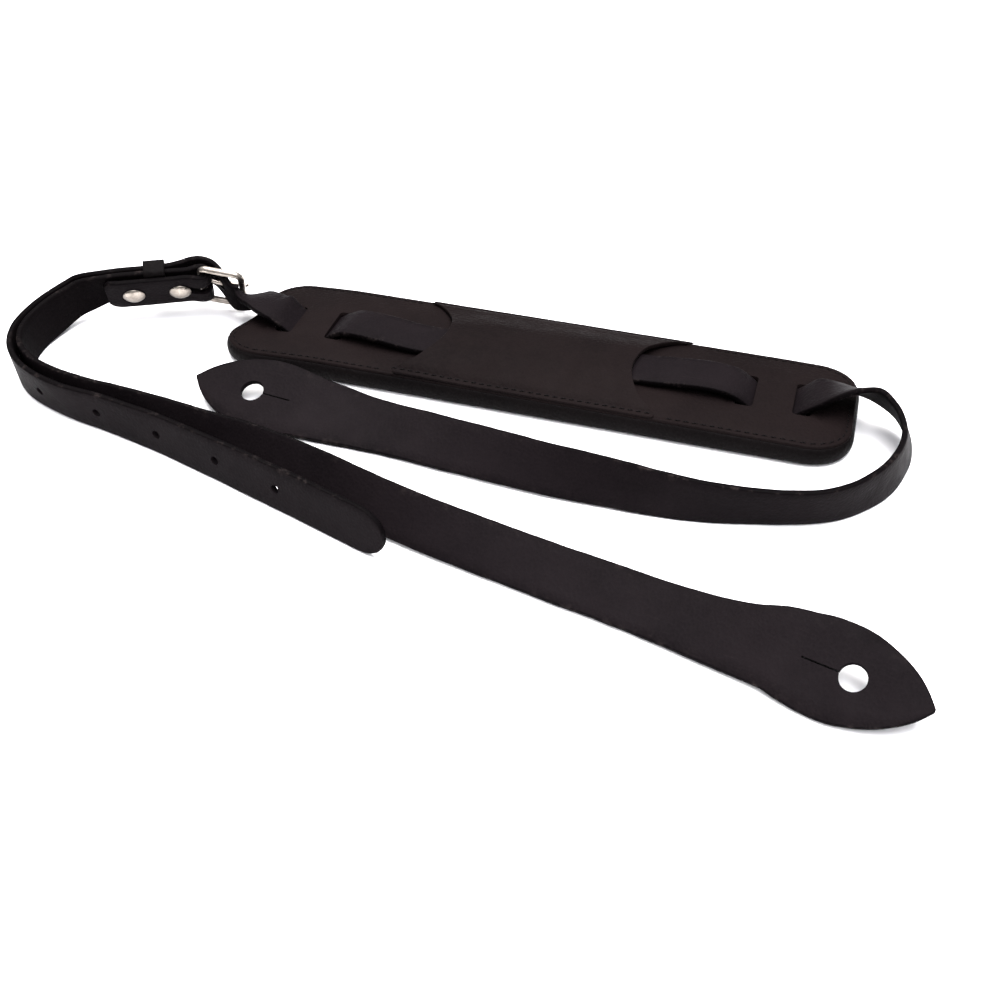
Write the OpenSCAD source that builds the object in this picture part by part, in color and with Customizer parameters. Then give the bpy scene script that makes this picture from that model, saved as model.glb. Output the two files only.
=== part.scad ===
// Leather instrument strap with a sliding shoulder pad, prong buckle and two leaf tabs.
// Units are millimetres. The pad lies along X, the floor is z = 0, +Z is up.

/* [Leather] */
// width of both straps in the loops
strap_w = 19.2; // [16:0.2:25]
// thickness of the strap leather
leather_t = 2.4; // [2:0.1:4]
// widest part of the leaf tabs
tab_w = 34; // [28:0.5:42]
// diameter of the button holes in the tabs
button_d = 9; // [7:0.5:12]
// length of the slit behind each button hole
slit_len = 12.5; // [8:0.5:18]
// width of the slit
slit_w = 0.6; // [0.4:0.1:1.5]
// diameter of the punched holes in the tail
punch_d = 3.3; // [3:0.1:5]
// spacing of the punched holes
punch_pitch = 30; // [20:1:35]

/* [Pad] */
// length of the pad
pad_len = 257; // [220:1:300]
// width of the pad
pad_w = 60; // [50:1:80]
// corner radius of the pad
pad_corner = 17; // [8:1:26]
// thickness of the pad at its edge
pad_t = 10.6; // [8:0.2:18]
// thickness of the face panel and of the overlay
panel_t = 2; // [1.5:0.1:3]
// distance of the inner slots from the middle
slot_in = 87; // [75:1:95]
// distance of the outer slots from the middle
slot_out = 110; // [100:1:118]
// length of the slots
slot_len = 24; // [20:0.5:28]
// opened width of the slots
slot_w = 9; // [4:0.5:10]
// half length of the overlay along its near edge
bridge_half = 57; // [45:1:70]
// half length of the overlay at the middle of its hollow ends
bridge_waist = 40; // [30:1:50]
// how much longer the far corner of the overlay is at its right end
bridge_horn = 8; // [0:1:12]

/* [Buckle] */
// wire diameter of the buckle frame
wire_d = 3; // [2.5:0.1:4]
// clear height inside the buckle frame
frame_clear = 21; // [18:0.5:26]
// distance from the heel bar to the tip bar
frame_len = 18; // [14:0.5:24]
// wire diameter of the prong
prong_d = 2.2; // [1.8:0.1:3]
// diameter of the domed rivet heads
rivet_d = 9.5; // [7:0.5:12]
// height of the domed rivet heads
rivet_h = 2.2; // [1.5:0.1:3]

/* [Hidden] */
$fn = 48;

ht = leather_t / 2;
eps = 0.02;
col_leather = [0.07, 0.065, 0.07];
col_pad = [0.12, 0.10, 0.10];
col_metal = [0.8, 0.78, 0.74];
col_thread = [0.05, 0.05, 0.05];
col_foam = [0.3, 0.3, 0.32];

// the buckle stands at b0; its stack of leather runs along heading and leans by lean
b0 = [-154.6, 4.6, 16.3];
b_head = 26.5;
b_lean = 28;
f_turn = -18;
rivet_x = [-10, -30];
keeper_x = -19.6;
keeper_len = 9;
keeper_t = 1.4;
stack_u = [cos(b_head), sin(b_head), 0];
stack_w = [sin(b_lean) * sin(b_head), -sin(b_lean) * cos(b_head), cos(b_lean)];
stack_v = [-cos(b_lean) * sin(b_head), cos(b_lean) * cos(b_head), sin(b_lean)];

// ---- ribbon routes -------------------------------------------------------------------
// a row is [x, y, z, lean, width]; lean is measured from upright towards the left of travel

function unit(v) = v / norm(v);
function flat(v) = unit([v[0], v[1], 0]);
function left_of(v) = [-flat(v)[1], flat(v)[0], 0];
function ends(i, n) = [max(i - 1, 0), min(i + 1, n - 1)];

// rows with a lean angle become [point, width direction, width]
function rows(r) = [for (i = [0:len(r) - 1])
    let (e = ends(i, len(r)),
         a = [r[e[0]][0], r[e[0]][1], r[e[0]][2]],
         b = [r[e[1]][0], r[e[1]][1], r[e[1]][2]],
         l = left_of(b - a))
    [[r[i][0], r[i][1], r[i][2]],
     [0, 0, 1] * cos(r[i][3]) + l * sin(r[i][3]), r[i][4]]];

// rows given in the plane of the buckle stack: [along, outward, width]
function stack_rows(r) = [for (q = r)
    [b0 + stack_u * q[0] + stack_v * q[1], stack_w, strap_w + q[2]]];

function seg_len(s, i) = norm(s[i + 1][0] - s[i][0]);
function slope(s, i, k) =
    i == 0 ? (s[1][k] - s[0][k]) / seg_len(s, 0) :
    i == len(s) - 1 ? (s[i][k] - s[i - 1][k]) / seg_len(s, i - 1) :
    ((s[i][k] - s[i - 1][k]) / seg_len(s, i - 1) * seg_len(s, i)
     + (s[i + 1][k] - s[i][k]) / seg_len(s, i) * seg_len(s, i - 1))
    / (seg_len(s, i - 1) + seg_len(s, i));
function herm(s, i, k, t) =
    let (d = seg_len(s, i), t2 = t * t, t3 = t2 * t)
    s[i][k] * (2 * t3 - 3 * t2 + 1) + slope(s, i, k) * (d * (t3 - 2 * t2 + t))
    + s[i + 1][k] * (3 * t2 - 2 * t3) + slope(s, i + 1, k) * (d * (t3 - t2));

// smooth curve through the rows, about one section every step
function smooth(s, step) = concat(
    [for (i = [0:len(s) - 2]) let (n = max(1, ceil(seg_len(s, i) / step)))
        for (j = [0:n - 1])
            [herm(s, i, 0, j / n), unit(herm(s, i, 1, j / n)), herm(s, i, 2, j / n)]],
    [s[len(s) - 1]]);

// sections: [point, tangent, width direction, face normal, width]
function sections(c) = [for (i = [0:len(c) - 1])
    let (e = ends(i, len(c)),
         t = unit(c[e[1]][0] - c[e[0]][0]),
         w = unit(c[i][1] - t * (c[i][1] * t)))
    [c[i][0], t, w, cross(t, w), c[i][2]]];

function arc_to(s, i) = i == 0 ? 0 : norm(s[i][0] - s[i - 1][0]) + arc_to(s, i - 1);
function arcs(s, i = 0, a = 0) =
    i == len(s) ? [] :
    concat([a], arcs(s, i + 1, i + 1 < len(s) ? a + norm(s[i + 1][0] - s[i][0]) : a));
function at_arc(s, a, x) =
    let (i = [for (k = [0:len(a) - 2]) if (a[k] <= x && a[k + 1] > x) k][0],
         f = (x - a[i]) / (a[i + 1] - a[i]))
    [for (k = [0:4]) s[i][k] * (1 - f) + s[i + 1][k] * f];

module ribbon(s, t) {
    n = len(s);
    pts = [for (q = s) for (c = [[-1, -1], [1, -1], [1, 1], [-1, 1]])
        q[0] + q[2] * (c[0] * q[4] / 2) + q[3] * (c[1] * t / 2)];
    sides = [for (i = [0:n - 2]) for (j = [0:3])
        let (a = 4 * i + j, b = 4 * i + (j + 1) % 4) each
        [[a, b, b + 4], [a, b + 4, a + 4]]];
    e = 4 * (n - 1);
    caps = [[2, 1, 0], [3, 2, 0], [e, e + 1, e + 2], [e, e + 2, e + 3]];
    polyhedron(points = pts, faces = [for (f = concat(sides, caps)) [f[0], f[2], f[1]]],
               convexity = 12);
}

// puts a child that stands on z at a section, along the face normal
module on_face(q) {
    n = q[3];
    translate(q[0])
        rotate([0, acos(n[2]), atan2(n[1], n[0])])
            children();
}

module punch(q, d) {
    on_face(q) cylinder(h = 4 * leather_t, d = d, center = true);
}

// leaf tab: widths against the distance from the tip; the hole sits leaf_hole behind the tip
leaf = [[0, 1], [3, 8.5], [7, 16], [12, 22.6], [18, 28.2], [24, 32], [30, 33.8], [36, 34],
        [43, 32.2], [50, 29.8]];
leaf_hole = 26;
// straight run of the tab from the tip in direction dir (unit), leaning by lean
function leaf_rows(tip, dir, lean, rise) = [for (q = leaf)
    [tip[0] + dir[0] * q[0], tip[1] + dir[1] * q[0], tip[2] + rise * q[0], lean,
     q[1] * tab_w / 34]];
function back_to_front(r) = [for (i = [len(r) - 1:-1:0]) r[i]];
// width of a row given as a difference from the strap width
function widen(r) = [for (q = r) [q[0], q[1], q[2], q[3], strap_w + q[4]]];

// ---- long strap ----------------------------------------------------------------------
far_tip = [-131, -51, 7.8];
far_dir = [cos(-5.5), sin(-5.5)];
far_lean = 70;
far_rise = -0.025;
long_front = concat(
    leaf_rows(far_tip, far_dir, far_lean, far_rise),
    widen([[-70, -56, 5.3, 73, 9.2], [-58, -56.8, 4.6, 75, 7.2], [-44, -58.3, 4.8, 72, 5],
           [-32, -60.4, 5.8, 66, 3.6], [-20, -62.6, 6.5, 60, 2.6], [-9, -64.4, 7.2, 54, 1.8],
           [2, -66.2, 7.8, 48, 1.2], [13, -67.8, 8.2, 42, 0.8], [24, -69.2, 8.6, 36, 0.4],
           [34, -70.2, 9, 29, 0.2], [44, -71, 9.3, 22, 0], [54, -72, 9.6, 15, 0],
           [64, -72.7, 9.7, 8, 0], [74, -72.8, 9.7, 2, 0], [84, -72.4, 9.8, -4, 0],
           [93, -71.2, 9.8, -8, 0], [102, -69.5, 9.8, -12, 0], [112, -67.2, 9.8, -14, 0],
           [122, -63.7, 9.8, -14, 0], [131, -58, 9.8, -10, 0], [139, -49.5, 9.8, -5, 0],
           [146, -38, 9.8, 2, 0], [149.8, -25, 9.9, 8, 0], [150.4, -15, 10.6, 17, 0],
           [148.2, -6.4, 12.4, 26, 0], [142.8, 0.4, 14.8, 35, 0], [136.4, 2.6, 17, 43, 0],
           [129.6, 1.8, 18, 55, 0], [122, 0.6, 17, 72, 0]]));
// weave on one half of the pad, outside to inside
weave = [[114.6, 0, 14.2, 90, 0], [110, 0, 10.4, 90, 0], [105.6, 0, 7.2, 90, 0],
         [98.5, 0, 6.5, 90, 0], [91.4, 0, 7.2, 90, 0], [87, 0, 10.4, 90, 0],
         [82.6, 0, 13, 90, 0], [75, 0, 14.4, 90, 0], [64, 0, 14.2, 90, 0],
         [53, 0, 13.1, 90, 0], [42, 0, 12.4, 90, 0], [22, 0, 12.1, 90, 0]];
drift = 1.8;
function mirror_x(r) = [for (q = back_to_front(r))
    [-q[0], -drift * min(1, max(0, (q[0] - 20) / 34)), q[2], q[3], q[4]]];
long_exit = [[-119.4, -0.4, 14.8, 86, 0], [-124.8, 2.6, 14.8, 84, 0],
             [-131, 4.6, 13.8, 76, 0]];
long_buckle = [[17, -8.8, 0], [13, -8.4, 0], [10.4, -4, 0], [8, 1, 0], [5, 5, 0],
               [1, 7, 0], [-3.6, 7.2, 0], [-8.6, 5.9, 0], [-14, 4.9, 0], [-24, 4.6, 0],
               [-34, 4.6, 0], [-41, 4.2, 0]];
long_tail = [[-206, -16, 14, 14, 0], [-211.6, -27.4, 11.6, 5, 0], [-214.3, -40, 9.9, 0, 0],
             [-212.6, -53.2, 9.7, -3, 0], [-206.6, -65, 9.7, -5, 0],
             [-197.4, -73.6, 9.8, -8, 0], [-185, -79.8, 9.9, -11, 0],
             [-171, -84, 9.9, -11, 0], [-156, -86.2, 9.9, -7, 0],
             [-142, -88.9, 9.8, -4, 0], [-127, -92.2, 9.8, -1, 0], [-113, -96.1, 9.7, 1, 0],
             [-99, -100.2, 9.8, 2, 0], [-86, -104.2, 9.8, 4, 0], [-73, -108.4, 9.8, 4, 0],
             [-60, -112.4, 9.8, 5, 0]];
tail_dir = [cos(-18.5), sin(-18.5)];
tail_tip = [[0, 0], [12, 0], [20, 0], [24, -1.6], [27, -4.4], [29.4, -9], [30.6, -14]];
long_end = [for (q = tail_tip)
    [-51 + tail_dir[0] * q[0], -115.4 + tail_dir[1] * q[0], 9.8, 5, q[1]]];

long_route = concat(
    rows(concat(long_front, widen(concat(weave, mirror_x(weave), long_exit)))),
    stack_rows(long_buckle),
    rows(widen(concat(long_tail, long_end))));
long_curve = sections(smooth(long_route, 5));
long_arcs = arcs(long_curve);
long_total = long_arcs[len(long_arcs) - 1];

// the prong line in the plane of the frame
prong_aim = 6;

module stack_frame() {
    translate(b0)
        rotate([b_lean, 0, b_head])
            children();
}
module frame_frame() {
    stack_frame()
        rotate([0, 0, f_turn])
            children();
}

module tab_hole(tip, dir, lean, rise) {
    s = sections(rows([for (q = [leaf_hole - 2, leaf_hole, leaf_hole + 2])
        [tip[0] + dir[0] * q, tip[1] + dir[1] * q, tip[2] + rise * q, lean, 30]]));
    q = s[1];
    m = leaf_hole + button_d / 2 + slit_len / 2 - 0.5;
    punch(q, button_d);
    translate(q[0])
        rotate([0, 0, atan2(dir[1], dir[0])])
            rotate([0, -atan(rise), 0])
                rotate([90 - lean, 0, 0])
                    translate([m - leaf_hole, 0, 0])
                        cube([slit_len + 1, slit_w, 4 * leather_t], center = true);
}

module strap_long() {
    color(col_leather)
        difference() {
            ribbon(long_curve, leather_t);
            tab_hole(far_tip, far_dir, far_lean, far_rise);
            for (k = [0:9])
                punch(at_arc(long_curve, long_arcs, long_total - 50 - k * punch_pitch),
                      punch_d);
            frame_frame()
                rotate([0, 0, prong_aim])
                    translate([10.5, 1.05, 0])
                        rotate([0, 90, 0])
                            cylinder(h = 12, d = 4.6, center = true);
        }
}

// ---- short strap ---------------------------------------------------------------------
near_tip = [166, -150, 9.4];
near_dir = [cos(165), sin(165)];
near_lean = -61;
near_rise = -0.008;
short_front = concat(
    leaf_rows(near_tip, near_dir, near_lean, near_rise),
    widen([[108, -135.2, 7.7, -61, 7], [98, -133, 6.7, -64, 5.2], [87, -130.3, 6, -66, 3.8],
           [74, -127.3, 5.6, -66, 2.6], [58, -123.9, 5.6, -65, 2], [42, -120.9, 5.7, -63, 1.6],
           [26, -117.7, 5.9, -61, 1.2], [10, -114.9, 6.6, -56, 0.9],
           [-6, -112.2, 7.5, -48, 0.5], [-22, -108.8, 8.3, -41, 0.3],
           [-39, -103.9, 8.8, -35, 0.2], [-56, -98.4, 9.1, -30, 0], [-74, -93.2, 9.3, -25, 0],
           [-92, -89, 9.5, -18, 0], [-111, -86.4, 9.7, -12, 0], [-130, -83, 9.7, -7, 0],
           [-149, -80.6, 9.7, -3, 0], [-167, -78.6, 9.7, 0, 0], [-181, -75.6, 9.7, 2, 0],
           [-194.8, -69.6, 9.7, 5, 0], [-203.8, -62, 9.7, 5, 0], [-209.2, -51.8, 9.7, 3, 0],
           [-210.8, -40, 9.9, 0, 0], [-208.2, -28.6, 11.4, -4, 0],
           [-203.2, -18.8, 13.8, -14, 0]]));
fold_r = 3;
short_fold = concat(
    [[-41, 1.7, 0], [-35.5, 2.05, 0], [-34, 2.05, 0], [-24, 2.05, 0], [-12, 2.05, 0],
     [-5, 2.1, 0], [-2.2, 2.8, 0]],
    [for (a = [90:-18:-90]) [fold_r * cos(a), fold_r * sin(a), 0]],
    [[-2.2, -2.8, 0], [-5, -2.1, 0], [-12, -2.05, 0], [-24, -2.05, 0], [-34, -2.05, 0],
     [-35.5, -2.05, 0],
     [-38.6, -1.7, -0.6], [-40.4, -1.4, -2.4], [-41.4, -1.3, -5.6]]);
short_route = concat(rows(short_front), stack_rows(short_fold));
short_curve = sections(smooth(short_route, 5));

module strap_short() {
    color(col_leather)
        difference() {
            ribbon(short_curve, leather_t);
            tab_hole(near_tip, near_dir, near_lean, near_rise);
            stack_frame() {
                for (x = rivet_x)
                    translate([x, 0, 0])
                        rotate([90, 0, 0]) {
                            cylinder(h = 20, r = 1.65, center = true);
                            translate([0, 0, -4])
                                cylinder(h = 1.3, r = 3.9);
                        }
                cube([15, 12, 5], center = true);
            }
        }
}

// ---- pad -----------------------------------------------------------------------------
module pad_outline(inset) {
    r = pad_corner - inset;
    x = pad_len / 2 - pad_corner;
    y = pad_w / 2 - pad_corner;
    union() {
        square([2 * x, 2 * y + 2 * r], center = true);
        square([2 * x + 2 * r, 2 * y], center = true);
        for (a = [-1, 1])
            for (b = [-1, 1])
                translate([a * x, b * y])
                    circle(r = r);
    }
}

module pad_back() {
    rim = pad_t - panel_t;
    color(col_leather)
        difference() {
            union() {
                linear_extrude(height = 1.2) pad_outline(1.6);
                translate([0, 0, 1.2])
                    linear_extrude(height = 1.4) pad_outline(0.6);
                translate([0, 0, 2.6])
                    linear_extrude(height = rim - 4.2) pad_outline(0);
                translate([0, 0, rim - 1.6])
                    linear_extrude(height = 1.6) pad_outline(0.6);
            }
            translate([0, 0, 2])
                linear_extrude(height = rim) pad_outline(3);
        }
}

module pad_foam() {
    color(col_foam)
        difference() {
            translate([0, 0, 2.05])
                linear_extrude(height = pad_t - panel_t - 2.1) pad_outline(3.1);
            for (a = [-1, 1])
                translate([a * (slot_in + slot_out) / 2, 0, 8.4])
                    cube([slot_out - slot_in + 13, slot_len + 1, 7], center = true);
        }
}

module pad_face() {
    color(col_pad)
        difference() {
            translate([0, 0, pad_t - panel_t])
                linear_extrude(height = panel_t) pad_outline(1.2);
            for (a = [-1, 1])
                for (x = [slot_in, slot_out])
                    translate([a * x, 0, pad_t - 1])
                        cube([slot_w, slot_len, 6], center = true);
        }
}

// cross section of the overlay: flat margins and a raised middle for the strap
bridge_top = [[31, 0], [19.5, 0], [16.2, 0.5], [14, 1.8], [12.4, 2.8], [8, 3.2], [0, 3.4]];
module bridge_section() {
    p = bridge_top;
    lo = concat([for (q = p) q], [for (i = [len(p) - 2:-1:0]) [-p[i][0], p[i][1]]]);
    polygon(concat(lo, [for (i = [len(lo) - 1:-1:0]) [lo[i][0], lo[i][1] + panel_t]]));
}
// how far the hollow end has come out at y, for a hollow of depth d
bridge_h = pad_w / 2 - 0.8;
function hollow(y, d) = let(r = (d * d + bridge_h * bridge_h) / (2 * d)) r - sqrt(r * r - y * y);
module bridge_plan() {
    d = bridge_half - bridge_waist;
    ys = [for (i = [-24:24]) bridge_h * i / 24];
    polygon(concat(
        [for (y = ys) [bridge_waist + hollow(y, y > 0 ? d + bridge_horn : d), y]],
        [for (i = [48:-1:0]) [-bridge_waist - hollow(ys[i], d + 2), ys[i]]]));
}
module pad_bridge() {
    color(col_pad)
        intersection() {
            translate([0, 0, pad_t - 1])
                linear_extrude(height = 20) bridge_plan();
            translate([-bridge_half - 4, 0, pad_t + eps])
                rotate([90, 0, 90])
                    linear_extrude(height = 2 * bridge_half + bridge_horn + 8) bridge_section();
        }
}

// one stitch lying along x
module stitch() {
    rotate([0, 90, 0])
        cylinder(h = 3.2, r = 0.4, center = true, $fn = 16);
}
stitch_in = 3.4;
module pad_stitches() {
    x1 = pad_len / 2 - pad_corner;
    y1 = pad_w / 2 - stitch_in;
    r = pad_corner - stitch_in;
    color(col_thread)
        translate([0, 0, pad_t + 0.42])
            for (a = [-1, 1])
                for (b = [-1, 1]) {
                    for (x = [bridge_half + (a * b > 0 && a > 0 ? bridge_horn : 0) + 5:5:x1 - 2])
                        translate([a * x, b * y1, 0]) stitch();
                    for (t = [15, 37.5, 60, 82.5])
                        translate([a * (x1 + r * sin(t)), b * (y1 - r + r * cos(t)), 0])
                            rotate([0, 0, -a * b * t]) stitch();
                    for (y = [8:5:y1 - r - 2])
                        translate([a * (x1 + r), b * y, 0])
                            rotate([0, 0, 90]) stitch();
                }
}
module bridge_stitches() {
    y1 = pad_w / 2 - stitch_in;
    color(col_thread)
        translate([0, 0, pad_t + panel_t + 0.42 + eps])
            for (b = [-1, 1])
                for (x = [-50:5:50])
                    translate([x, b * y1, 0]) stitch();
}

// ---- keeper, buckle, rivets ----------------------------------------------------------
module keeper_loop() {
    y0 = -keeper_t / 2;
    y1 = 6.05 + keeper_t;
    h = strap_w + 0.8;
    color(col_leather)
        stack_frame()
            translate([keeper_x, (y0 + y1) / 2, 0])
                difference() {
                    cube([keeper_len, y1 - y0, h + 2 * keeper_t], center = true);
                    cube([keeper_len + 2, y1 - y0 - 2 * keeper_t, h], center = true);
                }
}

// rectangular wire ring with round corners, heel bar on x = 0
module buckle_frame() {
    r = wire_d / 2;
    c = 3;
    hz = frame_clear / 2 + r;
    color(col_metal)
        frame_frame() {
            for (x = [0, frame_len])
                translate([x, 0, 0])
                    cylinder(h = 2 * (hz - c), r = r, center = true);
            for (s = [-1, 1]) {
                translate([frame_len / 2, 0, s * hz])
                    rotate([0, 90, 0])
                        cylinder(h = frame_len - 2 * c, r = r, center = true);
                for (x = [0, frame_len])
                    translate([x == 0 ? c : frame_len - c, 0, s * (hz - c)])
                        rotate([90, x == 0 ? (s > 0 ? 270 : 180) : (s > 0 ? 0 : 90), 0])
                            rotate_extrude(angle = 90)
                                translate([c, 0]) circle(r = r, $fn = 32);
            }
        }
}

module buckle_prong() {
    r = prong_d / 2;
    ri = wire_d / 2 + 0.08;
    color(col_metal)
        frame_frame()
            difference() {
                union() {
                    cylinder(h = prong_d * 1.4, r = ri + 1, center = true);
                    rotate([0, 0, prong_aim])
                        translate([ri + 0.6, 1.05, 0])
                            rotate([0, 90, 0])
                                cylinder(h = frame_len - ri + 0.9, r = r);
                }
                cylinder(h = 20, r = ri, center = true);
            }
}

module rivet_caps() {
    // dome as a slice of a sphere
    a = rivet_d / 2;
    rs = (a * a + rivet_h * rivet_h) / (2 * rivet_h);
    color(col_metal)
        stack_frame()
            for (x = rivet_x)
                translate([x, -3.36, 0])
                    rotate([90, 0, 0])
                        intersection() {
                            translate([0, 0, rivet_h - rs]) sphere(r = rs, $fn = 96);
                            cylinder(h = rivet_h + 1, r = a + 1);
                        }
}

module rivet_posts() {
    color(col_metal)
        stack_frame()
            for (x = rivet_x)
                translate([x, 0, 0])
                    rotate([90, 0, 0]) {
                        translate([0, 0, -2.8])
                            cylinder(h = 6.14, r = 1.6);
                        translate([0, 0, -3.3])
                            cylinder(h = 0.52, r = 3.8);
                    }
}

strap_long();
strap_short();
pad_back();
pad_foam();
pad_face();
pad_bridge();
pad_stitches();
bridge_stitches();
keeper_loop();
buckle_frame();
buckle_prong();
rivet_caps();
rivet_posts();
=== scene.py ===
"""Looks for the leather shoulder strap: leather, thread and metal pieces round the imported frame.

Lengths are millimetres, as in the CAD source, up to add_mesh, which makes meshes in metres.
Lights, camera, blends and sheet sizes are in metres.
"""
import math

import bmesh
import bpy
import numpy as np
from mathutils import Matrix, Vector, noise


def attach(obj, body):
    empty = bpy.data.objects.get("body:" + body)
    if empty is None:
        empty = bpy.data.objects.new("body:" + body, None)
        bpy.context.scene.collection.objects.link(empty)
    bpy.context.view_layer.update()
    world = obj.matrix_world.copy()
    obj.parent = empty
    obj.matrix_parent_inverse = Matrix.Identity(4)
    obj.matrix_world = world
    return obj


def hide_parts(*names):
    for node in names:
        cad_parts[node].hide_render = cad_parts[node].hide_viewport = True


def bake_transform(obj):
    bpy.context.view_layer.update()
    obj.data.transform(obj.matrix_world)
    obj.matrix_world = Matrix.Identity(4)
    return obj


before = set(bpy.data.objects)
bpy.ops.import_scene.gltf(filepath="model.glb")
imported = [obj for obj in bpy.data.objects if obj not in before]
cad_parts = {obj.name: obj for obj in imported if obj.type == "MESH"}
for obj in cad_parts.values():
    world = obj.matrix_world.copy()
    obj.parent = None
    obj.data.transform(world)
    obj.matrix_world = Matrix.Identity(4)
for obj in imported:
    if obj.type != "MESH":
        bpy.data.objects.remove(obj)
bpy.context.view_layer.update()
MM = 0.001
scene = bpy.context.scene

# ---- camera ---------------------------------------------------------------------------
camera_data = bpy.data.cameras.new("camera")
camera_data.lens = 47.56
camera_data.sensor_width = 36
camera_data.clip_start, camera_data.clip_end = 0.01, 50
camera = bpy.data.objects.new("camera", camera_data)
camera.location = (0.1109, -0.4382, 0.3153)
camera.rotation_euler = (math.radians(50), 0, math.radians(16.6))
scene.collection.objects.link(camera)
scene.camera = camera

# ---- sizes shared with the CAD source -------------------------------------------------
STRAP_W, LEATHER_T, TAB_W = 19.2, 2.4, 34
BUTTON_D, SLIT_LEN, SLIT_W = 9, 12.5, 0.6
PUNCH_D, PUNCH_PITCH, PUNCH_FIRST = 3.3, 30, 50
PAD_LEN, PAD_W, PAD_CORNER, PAD_T, PANEL_T = 257, 60, 17, 10.6, 2
SLOT_IN, SLOT_OUT, SLOT_LEN, SLOT_W = 87, 110, 24, 9
BRIDGE_HALF, BRIDGE_WAIST, BRIDGE_HORN = 57, 40, 8
WIRE_D, FRAME_CLEAR, FRAME_LEN, PRONG_D = 3, 21, 18, 2.2
STITCH_IN, STITCH_GAP, STITCH_LIFT = 3.4, 3.4, 0.12
LEAF_HOLE = 26  # from the leaf's tip to the middle of its button hole
RIVET_SEAT, RIVET_REAR_D, SHANK_D = 2.6, 7.8, 3.32  # rear heads and shanks inside the short strap
KEEPER_REACH = 6.25  # how far out the keeper's outer side is, on top of both straps
UP = np.array([0, 0, 1.0])
ALONG = np.array([1.0, 0, 0])


def turned(deg):
    return math.cos(math.radians(deg)), math.sin(math.radians(deg))


# the buckle stack: its heel bar's middle, and its directions along, across and outward
B0 = np.array([-154.6, 4.6, 16.3])
(HC, HS), (LC, LS) = turned(26.5), turned(28)
STACK_U = np.array([HC, HS, 0])
STACK_W = np.array([LS * HS, -LS * HC, LC])
STACK_V = np.array([-LC * HS, LC * HC, LS])
FRAME_TURN, PRONG_AIM = -18, 6
RIVET_X = (-10, -30)
KEEPER_X, KEEPER_LEN, KEEPER_T = -19.6, 9, 1.4


def in_stack(p):
    """Points given along, outward and across the buckle stack, in the row frame."""
    p = np.atleast_2d(np.asarray(p, float))
    return B0 + p[:, :1] * STACK_U + p[:, 1:2] * STACK_V + p[:, 2:3] * STACK_W


def in_frame(p, aim=0):
    """Points in the plane of the buckle frame, which leans off the stack."""
    p = np.atleast_2d(np.asarray(p, float))
    c, s = turned(FRAME_TURN + aim)
    return in_stack(np.c_[p[:, 0] * c - p[:, 1] * s, p[:, 0] * s + p[:, 1] * c, p[:, 2]])


# ---- strap routes, row by row as in the CAD source ------------------------------------
# rows are x, y, z, lean from upright in degrees, and width or what it adds to the strap's width;
# rows of the stack are along, outward and what they add to the width
LEAF = [(0, 1), (3, 8.5), (7, 16), (12, 22.6), (18, 28.2), (24, 32), (30, 33.8), (36, 34),
        (43, 32.2), (50, 29.8)]


def unit(v):
    return v / max(np.linalg.norm(v), 1e-12)


def leaf_rows(tip, heading, lean, rise):
    c, s = turned(heading)
    return [(tip[0] + c * q, tip[1] + s * q, tip[2] + rise * q, lean, w) for q, w in LEAF]


def widen(table):
    return [(x, y, z, lean, STRAP_W + dw) for x, y, z, lean, dw in table]


def rows(table):
    out = []
    for i, row in enumerate(table):
        a, b = table[max(i - 1, 0)], table[min(i + 1, len(table) - 1)]
        t = unit(np.array([b[0] - a[0], b[1] - a[1], 0.0]))
        c, s = turned(row[3])
        out.append((np.array(row[:3], float), np.array([-t[1] * s, t[0] * s, c]), row[4]))
    return out


def stack_rows(table):
    return [(in_stack([a, b, 0])[0], STACK_W, STRAP_W + dw) for a, b, dw in table]


def smooth(table, step):
    """A Hermite curve through the rows, with about one section every step."""
    P = np.array([np.r_[p, w, d] for p, w, d in table])
    L = np.linalg.norm(np.diff(P[:, :3], axis=0), axis=1)
    D = np.diff(P, axis=0) / L[:, None]
    S = np.empty_like(P)
    S[0], S[-1] = D[0], D[-1]
    S[1:-1] = (D[:-1] * L[1:, None] + D[1:] * L[:-1, None]) / (L[:-1] + L[1:])[:, None]
    out = []
    for i, d in enumerate(L):
        n = max(1, math.ceil(d / step))
        for t in np.arange(n) / n:
            t2, t3 = t * t, t ** 3
            out.append(P[i] * (2 * t3 - 3 * t2 + 1) + S[i] * d * (t3 - 2 * t2 + t)
                       + P[i + 1] * (3 * t2 - 2 * t3) + S[i + 1] * d * (t3 - t2))
    out.append(P[-1])
    return np.array(out)


class Curve:
    """Sections along a strap.

    Each has a point p, tangent t, width direction w, face normal n, width d and arc length s."""

    def __init__(self, table, step=2.0):
        c = smooth(table, step)
        self.p, self.d = c[:, :3], c[:, 6]
        i = np.arange(len(c))
        t = self.p[np.minimum(i + 1, len(c) - 1)] - self.p[np.maximum(i - 1, 0)]
        self.t = t / np.linalg.norm(t, axis=1)[:, None]
        w = c[:, 3:6] - self.t * (c[:, 3:6] * self.t).sum(1)[:, None]
        self.w = w / np.linalg.norm(w, axis=1)[:, None]
        self.n = np.cross(self.t, self.w)
        self.s = np.r_[0, np.cumsum(np.linalg.norm(np.diff(self.p, axis=0), axis=1))]

    def cut(self, a, b):
        """The sections a to b, as a curve of its own that keeps its arc lengths."""
        part = object.__new__(Curve)
        for k in "ptwnds":
            setattr(part, k, getattr(self, k)[a:b + 1])
        return part

    def at(self, arc):
        k = int(np.clip(np.searchsorted(self.s, arc) - 1, 0, len(self.s) - 2))
        f = (arc - self.s[k]) / (self.s[k + 1] - self.s[k])
        return [getattr(self, q)[k] * (1 - f) + getattr(self, q)[k + 1] * f for q in "ptwn"]


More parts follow.
